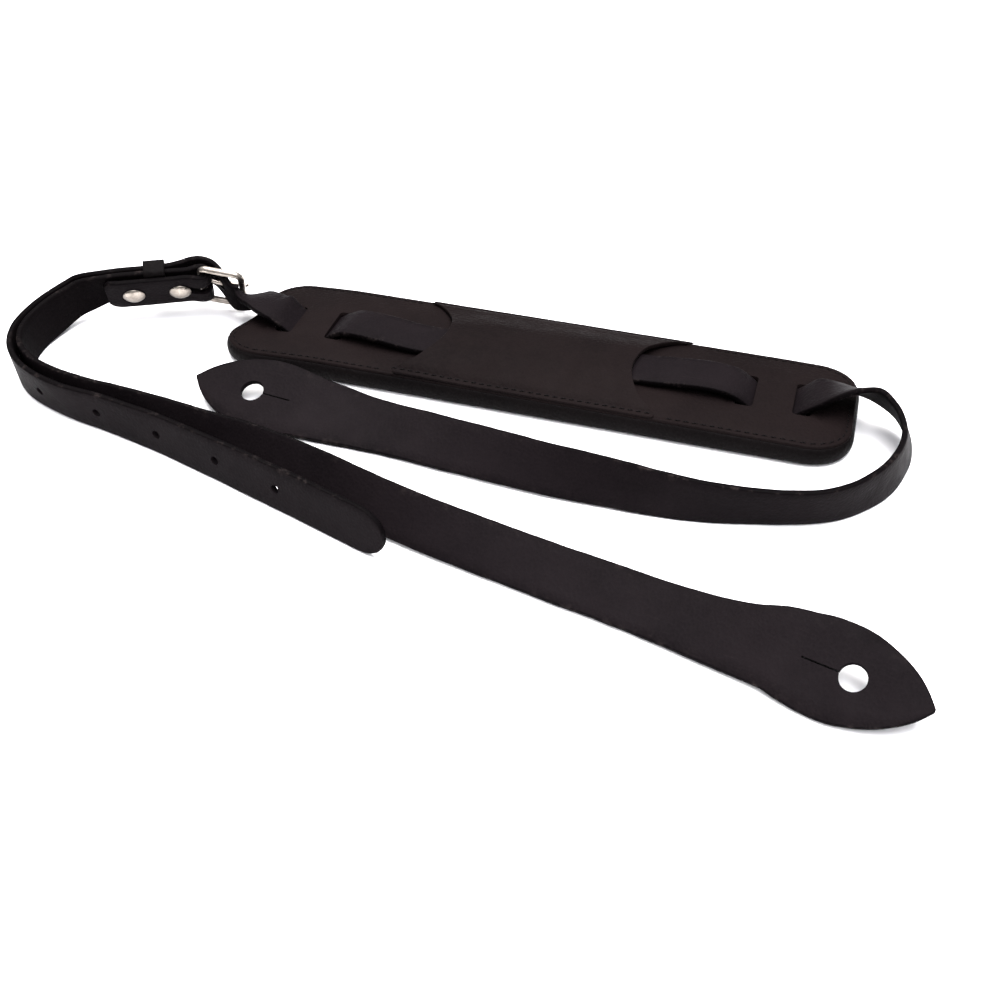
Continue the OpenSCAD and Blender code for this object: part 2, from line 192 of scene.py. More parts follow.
long_front = leaf_rows((-131, -51, 7.8), -5.5, 70, -0.025) + widen([
    (-70, -56, 5.3, 73, 9.2), (-58, -56.8, 4.6, 75, 7.2), (-44, -58.3, 4.8, 72, 5),
    (-32, -60.4, 5.8, 66, 3.6), (-20, -62.6, 6.5, 60, 2.6), (-9, -64.4, 7.2, 54, 1.8),
    (2, -66.2, 7.8, 48, 1.2), (13, -67.8, 8.2, 42, 0.8), (24, -69.2, 8.6, 36, 0.4),
    (34, -70.2, 9, 29, 0.2), (44, -71, 9.3, 22, 0), (54, -72, 9.6, 15, 0),
    (64, -72.7, 9.7, 8, 0), (74, -72.8, 9.7, 2, 0), (84, -72.4, 9.8, -4, 0),
    (93, -71.2, 9.8, -8, 0), (102, -69.5, 9.8, -12, 0), (112, -67.2, 9.8, -14, 0),
    (122, -63.7, 9.8, -14, 0), (131, -58, 9.8, -10, 0), (139, -49.5, 9.8, -5, 0),
    (146, -38, 9.8, 2, 0), (149.8, -25, 9.9, 8, 0), (150.4, -15, 10.6, 17, 0),
    (148.2, -6.4, 12.4, 26, 0), (142.8, 0.4, 14.8, 35, 0), (136.4, 2.6, 17, 43, 0),
    (129.6, 1.8, 18, 55, 0), (122, 0.6, 17, 72, 0)])
WEAVE = [(114.6, 14.2), (110, 10.4), (105.6, 7.2), (98.5, 6.5), (91.4, 7.2), (87, 10.4),
         (82.6, 13), (75, 14.4), (64, 14.2), (53, 13.1), (42, 12.4), (22, 12.1)]
DRIFT_X = (-110, -91, -87, -82, -75, -64, -53, -42, -22, 22)
DRIFT_Y = (-1.8, -2, -2.4, -3, -4.1, -5, -5.4, -4.8, -1.4, 0)


def drift(x):
    """The strap wanders towards the near side of the pad on its left half."""
    return np.interp(x, DRIFT_X, DRIFT_Y)


weave = [(x, 0, z, 90, 0) for x, z in WEAVE]
weave += [(-x, float(drift(-x)), z, 90, 0) for x, z in reversed(WEAVE)]
long_exit = [(-119.4, -0.4, 14.4, 84, 0), (-124.8, 2.6, 14.2, 79, 0), (-131, 4.6, 13.4, 69, 0)]
long_buckle = [(17, -9.3, 0), (13, -8.4, 0), (10.4, -4, 0), (8, 1, 0), (5, 5, 0), (1, 7, 0),
               (-3.6, 7.2, 0), (-8.6, 5.9, 0), (-14, 4.9, 0), (-24, 4.6, 0), (-34, 4.6, 0),
               (-41, 4.2, 0)]
long_tail = [(-206, -16, 14, 14, 0), (-211.6, -27.4, 11.6, 5, 0), (-214.3, -40, 9.9, 0, 0),
             (-212.6, -53.2, 9.7, -3, 0), (-206.6, -65, 9.7, -5, 0), (-197.4, -73.6, 9.8, -8, 0),
             (-185, -79.8, 9.9, -11, 0), (-171, -84, 9.9, -11, 0), (-156, -86.2, 9.9, -7, 0),
             (-142, -88.9, 9.8, -4, 0), (-127, -92.2, 9.8, -1, 0), (-113, -96.1, 9.7, 1, 0),
             (-99, -100.2, 9.8, 2, 0), (-86, -104.2, 9.8, 4, 0), (-73, -108.4, 9.8, 4, 0),
             (-60, -112.4, 9.8, 5, 0)]
TAIL_C, TAIL_S = turned(-18.5)
long_tail += [(-51 + TAIL_C * q, -115.4 + TAIL_S * q, 9.8, 5, dw)
              for q, dw in [(0, 0), (12, 0), (20, 0), (24, -1.6), (27, -4.4), (29.4, -9),
                            (30.6, -14)]]
long_curve = Curve(rows(long_front + widen(weave + long_exit)) + stack_rows(long_buckle)
                   + rows(widen(long_tail)))

short_front = leaf_rows((166, -150, 9.4), 165, -61, -0.008) + widen([
    (108, -135.2, 7.7, -61, 7), (98, -133, 6.7, -64, 5.2), (87, -130.3, 6, -66, 3.8),
    (74, -127.3, 5.6, -66, 2.6), (58, -123.9, 5.6, -65, 2), (42, -120.9, 5.7, -63, 1.6),
    (26, -117.7, 5.9, -61, 1.2), (10, -114.9, 6.6, -56, 0.9), (-6, -112.2, 7.5, -48, 0.5),
    (-22, -108.8, 8.3, -41, 0.3), (-39, -103.9, 8.8, -35, 0.2), (-56, -98.4, 9.1, -30, 0),
    (-74, -93.2, 9.3, -25, 0), (-92, -89, 9.5, -18, 0), (-111, -86.4, 9.7, -12, 0),
    (-130, -83, 9.7, -7, 0), (-149, -80.6, 9.7, -3, 0), (-167, -78.6, 9.7, 0, 0),
    (-181, -75.6, 9.7, 2, 0), (-194.8, -69.6, 9.7, 5, 0), (-203.8, -62, 9.7, 5, 0),
    (-209.2, -51.8, 9.7, 3, 0), (-210.8, -40, 9.9, 0, 0), (-208.2, -28.6, 11.4, -4, 0),
    (-203.2, -18.8, 13.8, -14, 0)])
FOLD_R = 3
short_fold = [(-41, 1.7, 0), (-35.5, 2.05, 0), (-34, 2.05, 0), (-24, 2.05, 0), (-12, 2.05, 0),
              (-5, 2.1, 0), (-2.2, 2.8, 0)]
short_fold += [(FOLD_R * turned(a)[0], FOLD_R * turned(a)[1], 0) for a in range(90, -91, -18)]
short_fold += [(-2.2, -2.8, 0), (-5, -2.1, 0), (-12, -2.05, 0), (-24, -2.05, 0),
               (-34, -2.05, 0), (-35.5, -2.05, 0), (-38.6, -1.7, -0.6), (-40.4, -1.4, -2.4),
               (-41.4, -1.3, -5.6)]
short_curve = Curve(rows(short_front) + stack_rows(short_fold), 1.6)


# ---- mesh helpers ---------------------------------------------------------------------
def add_mesh(name, points, faces, smooth_angle=35):
    mesh = bpy.data.meshes.new(name)
    mesh.from_pydata([tuple(p) for p in np.asarray(points, float) * MM], [], faces)
    bm = bmesh.new()
    bm.from_mesh(mesh)
    bmesh.ops.remove_doubles(bm, verts=bm.verts, dist=1e-7)
    bmesh.ops.recalc_face_normals(bm, faces=bm.faces)
    bm.to_mesh(mesh)
    bm.free()
    obj = bpy.data.objects.new(name, mesh)
    scene.collection.objects.link(obj)
    soften(mesh, smooth_angle)
    return obj


def soften(mesh, angle):
    mesh.shade_smooth()
    if angle < 180:
        mesh.set_sharp_from_angle(angle=math.radians(angle))


def loft(rings, closed=False):
    """Quads between rings of the same number of points; the ends are capped unless closed."""
    rings = np.asarray(rings, float)
    n, m = rings.shape[:2]
    faces = [(i * m + j, i * m + (j + 1) % m, (i + 1) % n * m + (j + 1) % m, (i + 1) % n * m + j)
             for i in range(n if closed else n - 1) for j in range(m)]
    if not closed:
        faces += [tuple(range(m))[::-1], tuple(range((n - 1) * m, n * m))]
    return rings.reshape(-1, 3), faces


def tube(path, radii, sides, flat, closed=False):
    """A wire round a path. flat is its factors across and along side, and the side direction."""
    path = np.asarray(path, float)
    n = len(path)
    i = np.arange(n)
    if closed:
        a, b = (i - 1) % n, (i + 1) % n
    else:
        a, b = np.maximum(i - 1, 0), np.minimum(i + 1, n - 1)
    t = path[b] - path[a]
    t /= np.linalg.norm(t, axis=1)[:, None]
    across, along, side = flat
    side = np.asarray(side, float)
    side = side - t * (t @ side)[:, None]
    side /= np.linalg.norm(side, axis=1)[:, None]
    up = np.cross(t, side)
    ang = np.linspace(0, 2 * math.pi, sides, endpoint=False)
    r = np.broadcast_to(radii, n)
    wide, high = r * np.broadcast_to(along, n), r * np.broadcast_to(across, n)
    rings = (path[:, None] + wide[:, None, None] * np.cos(ang)[None, :, None] * side[:, None]
             + high[:, None, None] * np.sin(ang)[None, :, None] * up[:, None])
    return loft(rings, closed)


def joined(parts):
    points, faces, base = [], [], 0
    for p, f in parts:
        points.append(p)
        faces += [tuple(i + base for i in face) for face in f]
        base += len(p)
    return np.concatenate(points), faces


def hole_cutter(centre, axis, across, outline, flare=0.35, half=1.2, reach=4.0):
    """A cutter along axis whose outline widens by flare at both faces, half away from centre."""
    other = np.cross(axis, across)
    rings = []
    size = np.maximum(np.linalg.norm(outline, axis=1), 0.1)
    for h, grow in ((-reach, flare * 2.2), (-half - 0.05, flare), (-half * 0.55, 0.08), (0, 0),
                    (half * 0.55, 0.08), (half + 0.05, flare), (reach, flare * 2.2)):
        o = outline * (1 + grow / size)[:, None]
        rings.append(centre + axis * h + o[:, :1] * across + o[:, 1:] * other)
    return loft(rings)


def circle(r, n=36):
    a = np.linspace(0, 2 * math.pi, n, endpoint=False)
    return np.c_[np.cos(a), np.sin(a)] * r


def corner_arcs(hx, hy, r, n):
    """Round corners of a rectangle about (0, 0), with their outward normals."""
    pts, nor = [], []
    for i, (a, b) in enumerate(((1, 1), (-1, 1), (-1, -1), (1, -1))):
        for q in np.linspace(90 * i, 90 * i + 90, n):
            c, s = turned(q)
            pts.append((a * (hx - r) + r * c, b * (hy - r) + r * s))
            nor.append((c, s))
    return np.array(pts), np.array(nor)


def stadium(length, width, n=10):
    """An outline with round ends, long in its second direction."""
    r = width / 2
    a = np.linspace(0, math.pi, n)
    top = np.c_[np.cos(a) * r, np.sin(a) * r + length / 2 - r]
    return np.concatenate([top, -top])


def carve(obj, parts, smooth_angle=35):
    """Takes the cutters out of obj and keeps the result as its mesh."""
    cutter = add_mesh("cutter", *joined(parts))
    m = obj.modifiers.new("carve", "BOOLEAN")
    m.operation, m.solver, m.object = "DIFFERENCE", "EXACT", cutter
    bpy.context.view_layer.update()
    mesh = bpy.data.meshes.new_from_object(obj.evaluated_get(bpy.context.evaluated_depsgraph_get()))
    obj.modifiers.clear()
    old, obj.data = obj.data, mesh
    bpy.data.meshes.remove(old)
    bpy.data.objects.remove(cutter)
    soften(mesh, smooth_angle)


def vertices(obj):
    co = np.empty(len(obj.data.vertices) * 3)
    obj.data.vertices.foreach_get("co", co)
    return co.reshape(-1, 3)


def attribute(obj, name, values):
    kind, field = ("FLOAT", "value") if np.ndim(values) == 1 else ("FLOAT_VECTOR", "vector")
    a = obj.data.attributes.new(name, kind, "POINT")
    a.data.foreach_set(field, np.ravel(values).astype(np.float32))


def ramp(x):
    """A smooth step from 0 at x = 0 to 1 at x = 1."""
    x = np.clip(x, 0, 1)
    return x * x * (3 - 2 * x)


def wander(x, seed, scale):
    """Smooth noise along a line, about -1 to 1."""
    return np.array([noise.noise(Vector((v / scale, seed * 7.3, 1.7))) for v in np.atleast_1d(x)])


# ---- straps ---------------------------------------------------------------------------
EDGE_R = 0.55
PUNCH_CLEAR = 4  # no hole is punched this near to where the left part and the tail meet
NEAREST_CHUNK = 2000  # points per step of the nearest-section search, to save memory


def strap(name, curve, holes, seed, grain_side=1):
    """A strap of leather: a flat section with burnished edges, cut edges a little uneven.

    Each group of cutters in holes is taken out in one step. grain_side is the face of the
    section that shows the grain; the other one is the flesh side."""
    t = LEATHER_T / 2
    rings = []
    near = wander(curve.s, seed, 9) * 0.16 + wander(curve.s, seed + 1, 2.6) * 0.07
    far = wander(curve.s, seed + 2, 8) * 0.16 + wander(curve.s, seed + 3, 2.9) * 0.07
    for i in range(len(curve.s)):
        h = curve.d[i] / 2
        r = min(EDGE_R, h * 0.6)
        edge = [-h, -h, -h + r * 0.3, -h + r]
        rise = [0.0, t - r, t - r * 0.3, t]
        flats = np.linspace(-h + r, h - r, 7)[1:-1]
        across = edge + list(flats) + [-v for v in reversed(edge)]
        height = rise + [t] * len(flats) + list(reversed(rise))
        across = np.array(across + [-v for v in across[1:-1]])
        height = np.array(height + [-v for v in height[1:-1]])
        height = height * (1 - 0.05 * (np.abs(across) / max(h, 0.1)) ** 4)
        across = across + np.where(across < -h + r * 1.1, near[i], 0) * min(1, h / 6)
        across = across - np.where(across > h - r * 1.1, far[i], 0) * min(1, h / 6)
        rings.append(curve.p[i] + across[:, None] * curve.w[i] + height[:, None] * curve.n[i])
    obj = add_mesh(name, *loft(rings), smooth_angle=50)
    for group in holes:
        carve(obj, group, 50)
    flow_marks(obj, curve, grain_side)
    return obj


def flow_marks(obj, curve, grain_side):
    """Where each point lies on the strap, for the leather: flow, cut edge and flesh side."""
    co = vertices(obj) / MM
    flow, edge, flesh_shade = np.empty_like(co), np.empty(len(co)), np.empty(len(co))
    for k in range(0, len(co), NEAREST_CHUNK):
        some = slice(k, k + NEAREST_CHUNK)
        c = co[some]
        i = ((c[:, None] - curve.p[None]) ** 2).sum(2).argmin(1)
        d = c - curve.p[i]
        a = (d * curve.w[i]).sum(1)
        h = (d * curve.n[i]).sum(1)
        flow[some] = np.c_[curve.s[i] + (d * curve.t[i]).sum(1), a, h] * MM
        edge[some] = ramp((np.abs(a) - curve.d[i] / 2 + 0.75) / 0.6)
        # where the flesh side is; the shader paints that side darker, as painted shade
        flesh_shade[some] = ramp(-grain_side * h / LEATHER_T + 0.5)
    attribute(obj, "flow", flow)
    attribute(obj, "edge", edge)
    attribute(obj, "flesh_shade", flesh_shade)


def punch(curve, arc, outline, **more):
    """A cutter square to the strap at an arc length."""
    p, _, w, n = curve.at(arc)
    return hole_cutter(p, unit(n), unit(w - unit(n) * (w @ unit(n))), outline, **more)


def tab_holes(curve):
    """The button hole and its slit, which runs 1 mm into the hole."""
    slit = stadium(SLIT_LEN + 1, SLIT_W)
    slit_at = LEAF_HOLE + BUTTON_D / 2 + SLIT_LEN / 2 - 0.5
    return [[punch(curve, LEAF_HOLE, circle(BUTTON_D / 2, 48), flare=0.3)],
            [punch(curve, slit_at, slit, flare=0.12)]]


def nearest_section(off, allowed):
    return int(np.argmin(np.where(allowed, off, off + 99)))


# the long strap is shown in three parts, which meet under the overlay and inside the keeper
stack_along = (long_curve.p - B0) @ STACK_U
stack_out = (long_curve.p - B0) @ STACK_V
in_weave = np.abs(long_curve.p[:, 1]) <= 20
on_stack = np.abs(stack_out - 4.8) <= 2
under_overlay = nearest_section(np.abs(long_curve.p[:, 0]), in_weave)
in_keeper = nearest_section(np.abs(stack_along - KEEPER_X), on_stack)
right_part = long_curve.cut(0, under_overlay)
left_part = long_curve.cut(under_overlay, in_keeper)
tail_part = long_curve.cut(in_keeper, len(long_curve.s) - 1)


def punched(part):
    """The row of punched holes, counted from the tail's end, as far as it lies on a part."""
    arcs = [long_curve.s[-1] - PUNCH_FIRST - k * PUNCH_PITCH for k in range(10)]
    return [punch(part, a, circle(PUNCH_D / 2, 24), flare=0.2) for a in arcs
            if part.s[0] + PUNCH_CLEAR < a < part.s[-1] - PUNCH_CLEAR]


prong_mid, prong_on = in_frame([[10.5, 1.05, 0], [11.5, 1.05, 0]], PRONG_AIM)
left_holes = [hole_cutter(prong_mid, unit(prong_on - prong_mid), STACK_W, circle(2.3, 24),
                          flare=0.1, reach=6)] + punched(left_part)

strap_right = strap("strap_long_right", right_part, tab_holes(right_part), 1)
strap_left = strap("strap_long_left", left_part, [[h] for h in left_holes], 5)
strap_tail = strap("strap_long_tail", tail_part, [punched(tail_part)], 9)


def stack_ring(outline, x, v):
    """An outline along and across the stack, moved by x along it and by v outward."""
    return in_stack(np.c_[x + outline[:, 0], np.full(len(outline), v), outline[:, 1]])


shank_cuts = [hole_cutter(in_stack([x, 0, 0])[0], STACK_V, STACK_W, circle(SHANK_D / 2, 24),
                          flare=0, reach=3.9) for x in RIVET_X]
head_cuts = [loft([stack_ring(circle(RIVET_REAR_D / 2, 40), x, v) for v in (RIVET_SEAT, 4.0)])
             for x in RIVET_X]
prong_notch = stadium(15, 5)[:, ::-1]
shank_cuts.append(loft([stack_ring(prong_notch, 0, v) for v in (-6, 6)]))
button, slit = tab_holes(short_curve)
strap_short = strap("strap_short_piece", short_curve, [button + shank_cuts, slit + head_cuts], 13,
                    grain_side=-1)


# ---- pad ------------------------------------------------------------------------------
HX, HY = PAD_LEN / 2, PAD_W / 2
LIP = 6.2  # from a slot's middle to the hollow of its outer lip
RIGHT_STRETCH, LEFT_SLANT = 3.0, 6.0  # how far the pad's ends are off their true outline
FOAM_TOP, FOAM_DIP = 8.35, 3.5  # the foam's height, and how far it gives way under the slots


def pad_outline():
    """Points round the pad's edge with their outward normals."""
    pts, nor = [], []
    x, y, r = HX - PAD_CORNER, HY - PAD_CORNER, PAD_CORNER
    for cx, cy, start in ((x, y, 0), (-x, y, 90), (-x, -y, 180), (x, -y, 270)):
        for a in np.linspace(start, start + 90, 17):
            c, s = turned(a)
            pts.append((cx + r * c, cy + r * s))
            nor.append((c, s))
        c, s = turned(start + 90)
        run = 2 * x if start in (0, 180) else 2 * y
        n = round(run / 2.2)
        for k in range(1, n):
            pts.append((cx + r * c - s * run * k / n, cy + r * s + c * run * k / n))
            nor.append((c, s))
    return np.array(pts), np.array(nor)


def edge_distance(x, y):
    """How far a point lies inside the pad's edge."""
    qx, qy = np.abs(x) - (HX - PAD_CORNER), np.abs(y) - (HY - PAD_CORNER)
    out = np.hypot(np.maximum(qx, 0), np.maximum(qy, 0)) + np.minimum(np.maximum(qx, qy), 0)
    return PAD_CORNER - out


def droop(x):
    """The pad's ends settle lower than its middle."""
    return 1 - 0.17 * ramp((-x - 85) / 43) - 0.03 * ramp((x - 85) / 43)


def lumps(x, y):
    """Broad and finer unevenness of the padding."""
    def at(a, b):
        broad = noise.noise(Vector((a / 19, b / 13, 3.1)))
        return broad + 0.5 * noise.noise(Vector((a / 7, b / 6, 8.2)))
    return np.array([at(a, b) for a, b in zip(np.ravel(x), np.ravel(y))]).reshape(np.shape(x))


def settle(points):
    """The pad's ends as they lie: the left one slants out to its near corner."""
    q = np.array(points, float)
    x, y = q[:, 0].copy(), q[:, 1]
    slant = ramp((2 - y) / 21) * ramp((-x - 95) / 30)
    q[:, 0] += RIGHT_STRETCH * ramp((x - 100) / 28) - LEFT_SLANT * slant
    return q


def bump(x, y, cx, cy, rx, ry):
    """A round rise of height 1 at (cx, cy)."""
    return np.exp(-((x - cx) / rx) ** 2 - ((y - cy) / ry) ** 2)


def face_top(x, y):
    """Height of the face leather: a shallow crown, a sewn channel and lips at the slots."""
    d = edge_distance(x, y)
    z = PAD_T - 0.75 + 0.85 * ramp(d / 16)
    z = z - 0.45 * np.exp(-((d - STITCH_IN) / 0.9) ** 2)
    under = ramp((np.abs(x) - 90) / 3) * ramp((107 - np.abs(x)) / 3)
    z = z + 0.45 * under * ramp((13 - np.abs(y)) / 5)
    by_slot = ramp((13 - np.abs(y)) / 4)
    for s in (-1, 1):
        z = z - 0.5 * ramp(1 - np.abs(s * x - SLOT_OUT - LIP) / 3) * by_slot
        z = z - 0.5 * ramp(1 - np.abs(s * x - SLOT_IN + LIP) / 3) * by_slot
    # creases at the outer slots' far corners
    z = z - 0.5 * bump(x, y, -115, 15.5, 2.4, 1.4) + 0.3 * bump(x, y, -112.5, 17.5, 2.5, 1.6)
    z = z - 0.3 * bump(x, y, 118, 15, 3, 1.2)
    return z * droop(x) + 0.08 * lumps(x, y)


def pad_rings(profile, height, inner=14):
    """Rings from the bottom middle round the edge to the top middle of a pad-shaped solid.

    profile is a list of (inset, level); height(x, y, level) gives z. Before its first entry and
    after its last one, inner rings each close towards the middle line."""
    pts, nor = pad_outline()
    middle_line = np.c_[np.clip(pts[:, 0], HY - HX, HX - HY), np.zeros(len(pts))]

    def ring(inset, level, t=0.0):
        q = pts - nor * inset
        q = q * (1 - t) + middle_line * t
        return np.c_[q, height(q[:, 0], q[:, 1], level)]

    first, last = profile[0], profile[-1]
    close = [k / inner for k in range(1, inner + 1)]
    rings = [ring(*first, t) for t in reversed(close)]
    rings += [ring(*q) for q in profile]
    rings += [ring(*last, t) for t in close]
    return loft_open(rings)


def loft_open(rings):
    """Like loft, for rings whose ends have collapsed to a line: no caps."""
    points, faces = loft(rings)
    return points, faces[:-2]


def pad_solid(name, profile, height, inner=14):
    """A closed pad-shaped piece; what collapses at the ends of its middle line is cleaned up."""
    points, faces = pad_rings(profile, height, inner)
    obj = add_mesh(name, settle(points), faces, smooth_angle=180)
    bm = bmesh.new()
    bm.from_mesh(obj.data)
    bmesh.ops.dissolve_degenerate(bm, dist=1e-6, edges=bm.edges)
    loose = [f for f in bm.faces if f.calc_area() < 1e-12]
    bmesh.ops.delete(bm, geom=loose, context="FACES")
    bmesh.ops.holes_fill(bm, edges=[e for e in bm.edges if e.is_boundary], sides=6)
    bmesh.ops.recalc_face_normals(bm, faces=bm.faces)
    bm.to_mesh(obj.data)
    bm.free()
    return obj


def face_height(x, y, level):
    return face_top(x, y) + level


face = pad_solid("pad_face_leather",
                 [(3.2, -2.0), (2.2, -1.95), (1.55, -1.75), (1.25, -1.4), (1.2, -1.0),
                  (1.3, -0.55), (1.6, -0.2), (2.1, -0.03), (2.8, 0), (3.4, 0), (4.2, 0), (5.5, 0)],
                 face_height)


# the slots look narrower than the CAD ones, since the leather closes in on the strap
slot_shape = corner_arcs((SLOT_W - 1.8) / 2, (SLOT_LEN - 3.4) / 2, 1.6, 6)[0]
carve(face, [hole_cutter(np.array([x, float(drift(x)), PAD_T - 1.2]), UP, ALONG, slot_shape,
                         flare=0.25, half=1.0)
             for x in (-SLOT_IN, -SLOT_OUT, SLOT_IN, SLOT_OUT)], 60)


def rim_height(x, y, level):
    return np.where(level > 2, level * droop(x), level) + 0.05 * lumps(x, y) * (level > 2)


rim = pad_solid("pad_back_leather",
                [(9, 0.12), (5, 0.1), (3, 0.15), (1.9, 0.5), (1.0, 1.2), (0.35, 2.3), (0.05, 3.6),
                 (0.0, 4.8), (0.15, 6.2), (0.45, 7.4), (0.85, 8.2), (1.4, 8.62), (2.0, 8.5),
                 (2.6, 8.1), (3.0, 7.4), (3.05, 5), (3.05, 2.6), (3.6, 2.1), (6, 1.9)],
                rim_height, 10)


def foam_height(x, y, level):
    top = FOAM_TOP * droop(x)
    for s in (-1, 1):
        along = ramp((16.5 - np.abs(s * x - (SLOT_IN + SLOT_OUT) / 2)) / 3)
        top = top - FOAM_DIP * along * ramp((14.5 - np.abs(y)) / 3) * droop(x)
    return np.where(level > 1, top - (9 - level), 2.25 + level)


foam = pad_solid("pad_foam_core",
                 [(6, 0), (4.2, 0), (3.5, 0.4), (3.4, 0.8), (3.5, 8.2), (4.0, 8.8), (5, 9),
                  (7, 9)],
                 foam_height, 16)

# overlay across the middle, raised where the strap runs under it: distance, height
RAISE = [(0, 3.35), (8, 3.25), (11, 3.0), (13.5, 2.5), (17, 1.6), (21, 0.75), (25, 0.15),
         (28, 0), (30, 0)]
BRIDGE_Y = HY - 1.3
RAISE_BLUR = np.linspace(-2.4, 2.4, 9)


def overlay_end(y, s):
    """Half length of the overlay at y, at its end on side s."""
    bow = BRIDGE_HALF - BRIDGE_WAIST + (2 if s < 0 else BRIDGE_HORN * (y > 0))
    radius = (bow * bow + BRIDGE_Y * BRIDGE_Y) / (2 * bow)
    arc = BRIDGE_WAIST + radius - np.sqrt(np.maximum(radius ** 2 - y ** 2, 0))
    corner = 4.5 * np.maximum((np.abs(y) - BRIDGE_Y + 3.2) / 3.2, 0) ** 2.4
    return arc - corner + (0.8 * s) + 0.35 * s * np.sin(y / 7.0)


def overlay_rise(x, y):
    return np.interp(np.abs(y - drift(x))[..., None] + RAISE_BLUR, *zip(*RAISE)).mean(-1)


def overlay_thickness(dy):
    """The overlay thins towards its long edges, with a channel under the stitches."""
    return PANEL_T - 0.95 * ramp((5.5 - dy) / 5.5) - 0.3 * np.exp(-((dy - 2.1) / 0.8) ** 2)


def between(lo, hi, margin, n):
    """Places from lo to hi that lie closer together at both ends, for a rounded edge."""
    steps = np.array([0, 0.06, 0.18, 0.34, 0.55, 1.0])
    return np.r_[lo + steps, np.linspace(lo + margin, hi - margin, n), hi - steps[::-1]]


def overlay():
    """The overlay as a grid of top and bottom points, closed round its edge."""
    r = 0.42
    ys = between(-BRIDGE_Y, BRIDGE_Y, 1.8, 54)
    X = np.array([between(-overlay_end(y, -1), overlay_end(y, 1), 1.9, 100) for y in ys])
    Y = np.repeat(ys[:, None], X.shape[1], 1)
    dx = np.minimum(X - X[:, :1], X[:, -1:] - X)
    dy = BRIDGE_Y - np.abs(Y)
    d = np.minimum(dx, dy)
    roll = r - np.sqrt(np.maximum(r * r - (r - np.minimum(d, r)) ** 2, 0))
    base = face_top(X, Y) - 0.35 * ramp((2.2 - dy) / 2.2)
    rise = overlay_rise(X, Y)
    top = base + rise + overlay_thickness(dy) - roll
    bottom = base + rise + roll * 0.8 + 0.02
    rows_n, cols = X.shape
    pts = np.concatenate([np.stack([X, Y, top], -1).reshape(-1, 3),
                          np.stack([X, Y, bottom], -1).reshape(-1, 3)])
    m = rows_n * cols
    faces = []
    for i in range(rows_n - 1):
        for j in range(cols - 1):
            a = i * cols + j
            faces.append((a, a + 1, a + cols + 1, a + cols))
            faces.append((m + a, m + a + cols, m + a + cols + 1, m + a + 1))
    rim_ids = ([j for j in range(cols)] + [i * cols + cols - 1 for i in range(1, rows_n)]
               + [(rows_n - 1) * cols + j for j in range(cols - 2, -1, -1)]
               + [i * cols for i in range(rows_n - 2, 0, -1)])
    for k, a in enumerate(rim_ids):
        b = rim_ids[(k + 1) % len(rim_ids)]
        faces.append((a, m + a, m + b, b))
    return pts, faces


bridge = add_mesh("pad_overlay_leather", *overlay(), smooth_angle=70)


def at_point(height, x, y):
    return float(height(np.array([x]), np.array([y]))[0])


def overlay_surface(x, y):
    thick = float(overlay_thickness(BRIDGE_Y - abs(y)))
    return at_point(face_top, x, y) + at_point(overlay_rise, x, y) + thick


# ---- stitches -------------------------------------------------------------------------

def stitch(x, y, z, heading):
    """One thread stitch: arched, with both ends diving into the leather, a little slanted."""
    c, s = turned(heading + 7)
    shape = [(-1.25, -0.7), (-1.1, -0.2), (-0.75, 0.02), (-0.3, 0.1), (0.3, 0.1), (0.75, 0.02),
             (1.1, -0.2), (1.25, -0.7)]
    path = [(x + c * a, y + s * a, z + h) for a, h in shape]
    radii = [0.14, 0.2, 0.24, 0.26]
    return tube(path, radii + radii[::-1], 8, flat=(1, 1, (-s, c, 0)))


def stitch_line(name, places):
    points, faces = joined([stitch(*q) for q in places])
    return add_mesh(name, settle(points), faces, smooth_angle=60)


def pad_stitch_places():
    """Stitches round the pad, except along the overlay, which has its own."""
    pts, nor = pad_outline()
    q = pts - nor * STITCH_IN
    loop = np.vstack([q, q[:1]])
    s = np.r_[0, np.cumsum(np.linalg.norm(np.diff(loop, axis=0), axis=1))]
    count = round(s[-1] / STITCH_GAP)
    out = []
    for k in range(count):
        a = s[-1] * k / count
        x, y = np.interp(a, s, loop[:, 0]), np.interp(a, s, loop[:, 1])
        x2, y2 = (np.interp((a + 0.5) % s[-1], s, loop[:, i]) for i in (0, 1))
        if -BRIDGE_HALF - 3.2 < x < BRIDGE_HALF + 3.2 + BRIDGE_HORN * (y > 0):
            continue
        out.append((x, y, at_point(face_top, x, y) + STITCH_LIFT,
                    math.degrees(math.atan2(y2 - y, x2 - x))))
    return out


def overlay_stitch_places():
    out = []
    for side, heading in ((-1, 180), (1, 0)):
        y = side * (HY - STITCH_IN)
        for x in np.arange(-53.5, 52.1 + BRIDGE_HORN * (side > 0), STITCH_GAP):
            out.append((x, y, overlay_surface(x, y) + STITCH_LIFT, heading))
    return out


pad_thread = stitch_line("pad_thread", pad_stitch_places())
bridge_thread = stitch_line("overlay_thread", overlay_stitch_places())


# ---- keeper, buckle, rivets -----------------------------------------------------------
def round_box(hx, hy, r, n=8):
    """A closed outline with round corners, about (0, 0), with its outward normals."""
    return densify(*corner_arcs(hx, hy, r, n))


def densify(pts, nor, step=1.5):
    """A closed outline with points added where they lie more than a step apart."""
    out, out_n = [], []
    for i in range(len(pts)):
        j = (i + 1) % len(pts)
        n = max(1, math.ceil(np.linalg.norm(pts[j] - pts[i]) / step))
        for k in range(n):
            out.append(pts[i] + (pts[j] - pts[i]) * k / n)
            out_n.append(unit(nor[i] + (nor[j] - nor[i]) * k / n))
    return np.array(out), np.array(out_n)


